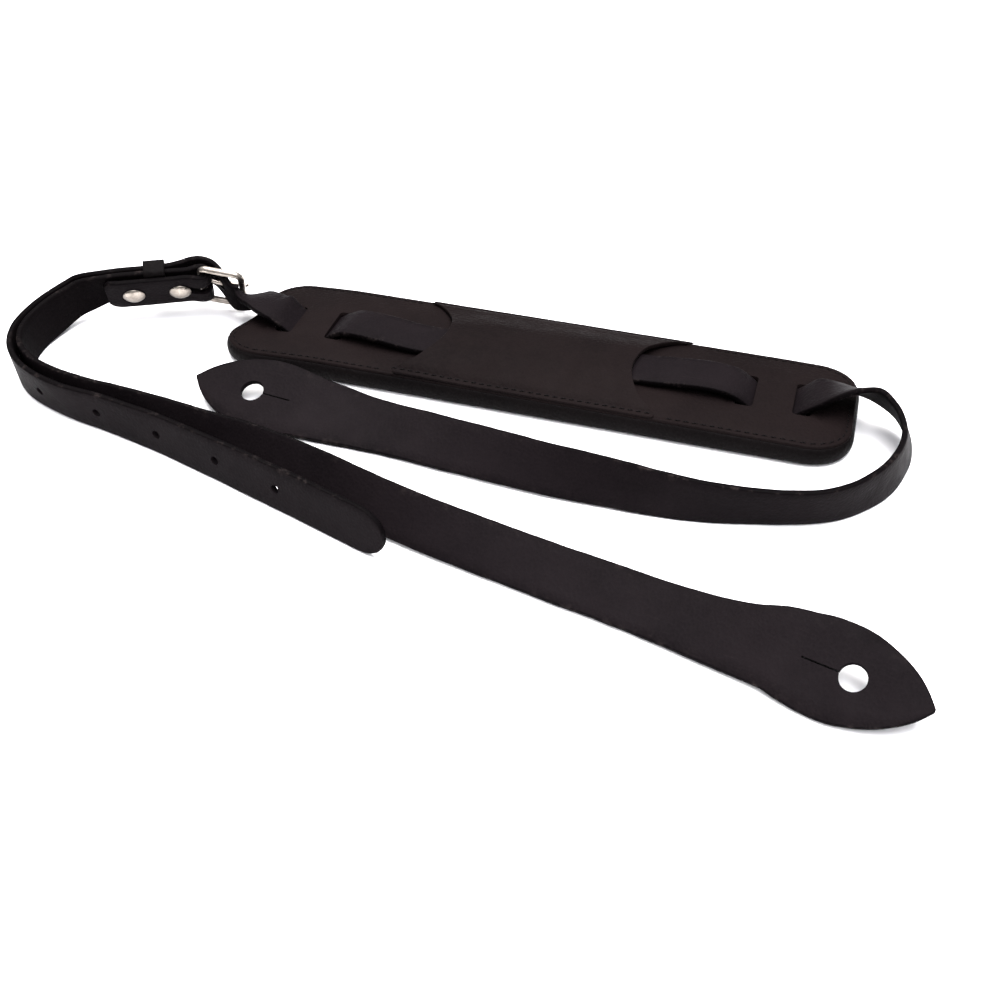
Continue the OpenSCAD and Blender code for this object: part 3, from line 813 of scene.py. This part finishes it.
def keeper():
    """A band round both straps, with cut edges that wander a little."""
    v0, v1 = -KEEPER_T / 2, KEEPER_REACH + KEEPER_T
    h = (STRAP_W + 0.8) / 2 + KEEPER_T
    pts, nor = round_box((v1 - v0) / 2, h, 2.0)
    section = corner_arcs(KEEPER_LEN / 2, KEEPER_T / 2, 0.35, 3)[0]
    rings = []
    for i, (p, n) in enumerate(zip(pts, nor)):
        q = p - n * KEEPER_T / 2 + section[:, 1:] * n * 0.98
        wave = 0.12 * math.sin(i * 0.37)
        along = KEEPER_X + section[:, 0] * (1 + 0.02 * math.sin(i * 0.21)) + wave * 0.5
        rings.append(in_stack(np.c_[along, (v0 + v1) / 2 + q[:, 0], q[:, 1]]))
    return loft(rings, closed=True)


keeper_piece = add_mesh("keeper_leather", *keeper(), smooth_angle=50)


def buckle():
    """The frame, worn flat where the prong rests, with the wire's seam on the heel bar."""
    r = WIRE_D / 2
    hz = FRAME_CLEAR / 2 + r
    pts, _ = round_box(FRAME_LEN / 2, hz, 3.0, 10)
    path = in_frame(np.c_[FRAME_LEN / 2 + pts[:, 0], np.zeros(len(pts)), pts[:, 1]])
    on_tip_bar = np.abs(pts[:, 0] - FRAME_LEN / 2) < 0.05
    on_heel_bar = pts[:, 0] < -FRAME_LEN / 2 + 0.05
    rest = np.exp(-(pts[:, 1] / 1.6) ** 2) * on_tip_bar
    seam = np.exp(-((pts[:, 1] - 6.5) / 0.28) ** 2) * on_heel_bar
    radii = r * (1 - 0.1 * rest - 0.12 * seam)
    outward = in_frame([[0, 1, 0]])[0] - in_frame([[0, 0, 0]])[0]
    return tube(path, radii, 24, flat=(1, 1, outward), closed=True)


buckle_piece = add_mesh("buckle_wire", *buckle(), smooth_angle=180)


def prong():
    """The tongue: a flattened curl round the heel bar, then a wire that tapers at its tip."""
    curl_r = WIRE_D / 2 + 0.58
    # along, outward, half thickness, half width
    shape = [(curl_r * turned(a)[0], curl_r * turned(a)[1], 0.48, 1.5)
             for a in range(-14, -271, -8)]
    shape += [(0.8, 2.03, 0.5, 1.48), (1.8, 1.92, 0.56, 1.38), (2.8, 1.74, 0.68, 1.26),
              (4, 1.5, 0.84, 1.15), (5.4, 1.28, 0.98, 1.1), (7, 1.12, 1.05, 1.08),
              (9, 1.05, 1.08, 1.08), (12, 1.05, 1.08, 1.08), (15, 1.05, 1.08, 1.08),
              (17.5, 1.05, 1.06, 1.06), (18.8, 1.03, 0.98, 0.98), (19.5, 1.0, 0.82, 0.82),
              (19.95, 0.96, 0.55, 0.55), (20.15, 0.94, 0.2, 0.2)]
    x, y, thick, wide = np.array(shape).T
    path = in_frame(np.c_[x, y, np.zeros(len(x))], PRONG_AIM)
    return tube(path, 1.0, 20, flat=(thick, wide, STACK_W))


prong_piece = add_mesh("prong_wire", *prong(), smooth_angle=60)


def domes():
    """The rivets' heads, turned from (radius, outward) points."""
    profile = [(0, -3.33), (3.6, -3.33), (4.5, -3.34), (4.74, -3.45), (4.74, -3.62), (4.58, -3.8),
               (4.1, -4.2), (3.4, -4.68), (2.5, -5.12), (1.5, -5.42), (0.7, -5.53), (0, -5.55)]
    return joined([loft([stack_ring(circle(max(r, 0.02), 48), x, v) for r, v in profile])
                   for x in RIVET_X])


rivets = add_mesh("rivet_domes", *domes(), smooth_angle=60)


# ---- materials ------------------------------------------------------------------------
class Nodes:
    """A small wrapper that keeps node trees short."""

    def __init__(self, name, **sockets):
        self.mat = bpy.data.materials.new(name)
        self.mat.use_nodes = True
        self.t = self.mat.node_tree
        self.shader = self.t.nodes["Principled BSDF"]
        for k, v in sockets.items():
            self.shader.inputs[k.replace("_", " ")].default_value = v

    def add(self, kind, inputs=(), **settings):
        n = self.t.nodes.new(kind)
        for k, v in settings.items():
            setattr(n, k, v)
        for k, v in dict(inputs).items():
            if isinstance(v, bpy.types.NodeSocket):
                self.t.links.new(v, n.inputs[k])
            else:
                n.inputs[k].default_value = v
        return n

    def noise(self, vector, scale, detail=3.0, rough=0.55, distort=0.0):
        inputs = {"Vector": vector, "Scale": scale, "Detail": detail, "Roughness": rough,
                  "Distortion": distort}
        return self.add("ShaderNodeTexNoise", inputs).outputs["Fac"]

    def scaled(self, vector, scale):
        return self.add("ShaderNodeMapping", {"Vector": vector, "Scale": scale}).outputs["Vector"]

    def span(self, value, lo, hi, to_lo=0.0, to_hi=1.0):
        return self.add("ShaderNodeMapRange", {"Value": value, "From Min": lo, "From Max": hi,
                                               "To Min": to_lo, "To Max": to_hi}).outputs["Result"]

    def maths(self, operation, a, b=0.0):
        return self.add("ShaderNodeMath", {0: a, 1: b}, operation=operation).outputs[0]

    def mix(self, fac, a, b):
        n = self.add("ShaderNodeMix", data_type="RGBA")
        for socket, v in zip((n.inputs["Factor"], n.inputs["A"], n.inputs["B"]), (fac, a, b)):
            socket = next(s for s in n.inputs if s.name == socket.name and (
                s.type == ("VALUE" if socket.name == "Factor" else "RGBA")))
            if isinstance(v, bpy.types.NodeSocket):
                self.t.links.new(v, socket)
            else:
                socket.default_value = v
        return next(s for s in n.outputs if s.type == "RGBA")

    def bump(self, height, strength, distance, under=None):
        inputs = {"Height": height, "Strength": strength, "Distance": distance}
        if under is not None:
            inputs["Normal"] = under
        return self.add("ShaderNodeBump", inputs).outputs["Normal"]

    def finish(self, colour, rough, normal):
        for k, v in (("Base Color", colour), ("Roughness", rough), ("Normal", normal)):
            self.t.links.new(v, self.shader.inputs[k])
        return self.mat


def rgb(r, g, b):
    return (r, g, b, 1.0)


def leather(name, dark, light, worn, flesh_shade=None, grain=700, rough=(0.42, 0.62), specular=0.22,
            flow=True, depth=0.00022):
    """Pebbled leather with creases and scratches.

    With flow it follows the strap's own marks: inked and rubbed cut edges, and a flesh side."""
    m = Nodes(name, Specular_IOR_Level=specular)
    if flow:
        place = m.add("ShaderNodeAttribute", attribute_name="flow").outputs["Vector"]
    else:
        place = m.add("ShaderNodeTexCoord").outputs["Object"]
    blotch = m.noise(place, 28, 4, 0.6)
    cloud = m.noise(place, 95, 3, 0.6)
    pebble = m.add("ShaderNodeTexVoronoi", {"Vector": place, "Scale": grain, "Randomness": 1.0},
                   feature="F1").outputs["Distance"]
    crease = m.noise(m.scaled(place, (110, 240, 240)), 1.0, 5, 0.62, 0.6)
    fine = m.noise(place, grain * 3.2, 2, 0.5)
    scratch = m.noise(m.scaled(place, (35, 800, 800)), 1.0, 2, 0.5)
    marks = m.span(scratch, 0.7, 0.8)
    colour = m.mix(m.span(blotch, 0.32, 0.7), dark, light)
    colour = m.mix(m.maths("MULTIPLY", m.span(pebble, 0.25, 0.75), 0.35), colour, light)
    colour = m.mix(m.maths("MULTIPLY", marks, 0.06), colour, worn)
    roughness = m.span(m.maths("ADD", cloud, m.maths("MULTIPLY", fine, 0.4)), 0.35, 1.0, *rough)
    if flow:
        edge = m.add("ShaderNodeAttribute", attribute_name="edge").outputs["Fac"]
        rub = m.maths("MULTIPLY", edge, m.span(m.noise(place, 260, 4, 0.7), 0.54, 0.78, 0.0, 0.36))
        colour = m.mix(m.maths("MULTIPLY", edge, 0.75), colour, rgb(0.0009, 0.0007, 0.0008))
        colour = m.mix(rub, colour, worn)
        # the flesh side is real, with its nap; its colour, darker than the grain's, is painted
        # shade for the loops' inner sides and the faces that turn down where the strap twists
        back = m.add("ShaderNodeAttribute", attribute_name="flesh_shade").outputs["Fac"]
        nap = m.noise(m.scaled(place, (500, 900, 900)), 1.0, 4, 0.7)
        colour = m.mix(m.maths("MULTIPLY", back, m.span(nap, 0.3, 0.8, 0.55, 1.0)), colour, flesh_shade)
        roughness = m.maths("MAXIMUM", roughness, m.maths("MULTIPLY", back, 0.78))
        roughness = m.maths("MAXIMUM", roughness, m.maths("MULTIPLY", rub, 0.7))
    normal = m.bump(pebble, 0.5, depth)
    normal = m.bump(crease, 0.25, depth * 1.2, normal)
    normal = m.bump(fine, 0.35, depth * 0.35, normal)
    return m.finish(colour, roughness, normal)


def metal(name):
    """Nickel plate, a little tarnished, with hair lines."""
    m = Nodes(name, Metallic=1.0)
    place = m.add("ShaderNodeTexCoord").outputs["Object"]
    tarnish = m.noise(place, 320, 4, 0.6)
    colour = m.mix(m.span(tarnish, 0.35, 0.72), rgb(0.36, 0.325, 0.285), rgb(0.2, 0.175, 0.15))
    hair = m.noise(m.scaled(place, (300, 4000, 1500)), 1.0, 3, 0.6)
    rough = m.span(m.maths("ADD", tarnish, m.maths("MULTIPLY", hair, 0.5)), 0.4, 1.1, 0.2, 0.42)
    return m.finish(colour, rough, m.bump(hair, 0.12, 0.00003))


def thread(name):
    """Twisted thread, its plies as slanting bands."""
    m = Nodes(name, Specular_IOR_Level=0.03)
    place = m.add("ShaderNodeTexCoord").outputs["Object"]
    ply = m.add("ShaderNodeTexWave",
                {"Vector": place, "Scale": 420, "Distortion": 1.5, "Detail": 2.0},
                bands_direction="DIAGONAL").outputs["Fac"]
    colour = m.mix(ply, rgb(0.0018, 0.0016, 0.0018), rgb(0.0065, 0.0055, 0.0056))
    return m.finish(colour, m.span(ply, 0, 1, 0.85, 0.6), m.bump(ply, 0.6, 0.0002))


def foam_mat(name):
    m = Nodes(name, Specular_IOR_Level=0.15)
    place = m.add("ShaderNodeTexCoord").outputs["Object"]
    cell = m.add("ShaderNodeTexVoronoi", {"Vector": place, "Scale": 900},
                 feature="F1").outputs["Distance"]
    colour = m.mix(m.span(cell, 0.1, 0.8), rgb(0.016, 0.016, 0.017), rgb(0.035, 0.034, 0.036))
    return m.finish(colour, m.span(cell, 0, 1, 0.95, 0.8), m.bump(cell, 0.7, 0.0004))


# the strap leather's cool tint and the pad leather's warm tint are painted light: cool light on the
# straps' upright faces, warm light on the pad's top
strap_mat = leather("strap_black_leather", rgb(0.0038, 0.0029, 0.0034),
                    rgb(0.0066, 0.0050, 0.0057), rgb(0.07, 0.055, 0.052),
                    # the flesh side's colour below is the darker one: painted shade
                    flesh_shade=rgb(0.0016, 0.0012, 0.0014), grain=900, specular=0.015)
pad_mat = leather("pad_black_leather", rgb(0.0036, 0.0025, 0.0026), rgb(0.0062, 0.0042, 0.0042),
                  rgb(0.02, 0.015, 0.014), grain=620, rough=(0.52, 0.72), specular=0.02, flow=False,
                  depth=0.0003)
# a darker copy of the pad leather for the pad's rim and the keeper: painted shade on these upright,
# side-facing parts
shaded_leather_mat = leather("black_leather_painted_shade", rgb(0.0017, 0.0013, 0.0014), rgb(0.0032, 0.0024, 0.0025),
                  rgb(0.018, 0.014, 0.013), grain=700, rough=(0.5, 0.66), specular=0.03, flow=False,
                  depth=0.0003)
metal_mat = metal("nickel_plate")
thread_mat = thread("black_thread")
core_mat = foam_mat("dark_foam")


def dress(obj, material, slot, *nodes):
    """Gives a piece its material and hides the CAD nodes that it stands for; slot is not used."""
    obj.data.materials.clear()
    obj.data.materials.append(material)
    if nodes:
        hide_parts(*nodes)


for piece in (strap_right, strap_left, strap_tail):
    dress(piece, strap_mat, "strap_leather", "strap_long")
dress(strap_short, strap_mat, "strap_leather", "strap_short")
# the keeper takes the darker copy of the leather: painted shade
dress(keeper_piece, shaded_leather_mat, "strap_leather", "keeper_loop")
dress(face, pad_mat, "pad_leather", "pad_face")
dress(bridge, pad_mat, "pad_leather", "pad_bridge")
# the rim takes the darker copy of the leather: painted shade
dress(rim, shaded_leather_mat, "pad_leather", "pad_back")
dress(foam, core_mat, "foam", "pad_foam")
dress(pad_thread, thread_mat, "thread", "pad_stitches")
dress(bridge_thread, thread_mat, "thread", "bridge_stitches")
dress(buckle_piece, metal_mat, "nickel", "buckle_frame")
dress(prong_piece, metal_mat, "nickel", "buckle_prong")
dress(rivets, metal_mat, "nickel", "rivet_caps")
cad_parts["rivet_posts"].data.materials.clear()
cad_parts["rivet_posts"].data.materials.append(metal_mat)

# ---- what each piece rides on ---------------------------------------------------------
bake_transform(strap_right)
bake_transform(strap_left)
for piece in (strap_tail, strap_short, rivets):
    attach(piece, "straps")
for piece in (face, bridge, rim, foam, pad_thread, bridge_thread):
    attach(piece, "pad")
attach(keeper_piece, "keeper")
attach(buckle_piece, "frame")
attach(prong_piece, "prong")

# ---- floor, lights --------------------------------------------------------------------
bm = bmesh.new()
bmesh.ops.create_grid(bm, x_segments=8, y_segments=8, size=4.0)
floor_mesh = bpy.data.meshes.new("floor")
bm.to_mesh(floor_mesh)
bm.free()
floor = bpy.data.objects.new("floor", floor_mesh)
floor.location.z = -0.0002
scene.collection.objects.link(floor)
paper = Nodes("white_paper", Specular_IOR_Level=0.1)
spot = paper.noise(paper.add("ShaderNodeTexCoord").outputs["Object"], 60, 3)
paper.finish(paper.mix(spot, rgb(0.9, 0.9, 0.9), rgb(0.93, 0.93, 0.935)),
             paper.span(spot, 0, 1, 0.7, 0.9), paper.bump(spot, 0.05, 0.0002))
floor.data.materials.append(paper.mat)


def soft_light(name, location, target, size, power, colour=(1, 1, 1)):
    data = bpy.data.lights.new(name, "AREA")
    data.shape, data.size, data.energy, data.color = "SQUARE", size, power, colour
    lamp = bpy.data.objects.new(name, data)
    lamp.location = location
    lamp.rotation_euler = (Vector(target) - Vector(location)).to_track_quat("-Z", "Y").to_euler()
    scene.collection.objects.link(lamp)


soft_light("key", (-0.55, 0.5, 1.5), (0, 0, 0), 1.0, 34, (1.0, 0.965, 0.94))
soft_light("top", (0.3, -0.2, 1.7), (0.05, -0.06, 0), 1.2, 60, (0.99, 0.97, 1.0))
soft_light("fill", (0.35, -0.95, 1.2), (0.1, -0.1, 0), 0.8, 10, (0.97, 0.96, 1.0))



def studio_world():
    """Light that is weak near the horizon and strong from above; the camera sees plain white."""
    world = bpy.data.worlds.new("studio")
    world.use_nodes = True
    nodes, link = world.node_tree.nodes, world.node_tree.links.new
    sky = nodes["Background"]
    sky.inputs["Color"].default_value = rgb(0.97, 0.97, 1.0)
    direction = nodes.new("ShaderNodeTexCoord")
    height = nodes.new("ShaderNodeSeparateXYZ")
    zenith = nodes.new("ShaderNodeMapRange")
    for name, value in (("From Max", 0.75), ("To Min", 0.12), ("To Max", 1.2)):
        zenith.inputs[name].default_value = value
    link(direction.outputs["Generated"], height.inputs[0])
    link(height.outputs["Z"], zenith.inputs["Value"])
    link(zenith.outputs["Result"], sky.inputs["Strength"])
    seen = nodes.new("ShaderNodeBackground")
    seen.inputs["Color"].default_value = rgb(1, 1, 1)
    seen.inputs["Strength"].default_value = 1.0
    choose = nodes.new("ShaderNodeMixShader")
    link(nodes.new("ShaderNodeLightPath").outputs["Is Camera Ray"], choose.inputs[0])
    link(sky.outputs[0], choose.inputs[1])
    link(seen.outputs[0], choose.inputs[2])
    link(choose.outputs[0], nodes["World Output"].inputs[0])
    return world


scene.world = studio_world()
scene.view_settings.view_transform = "Standard"
scene.view_settings.look = "None"
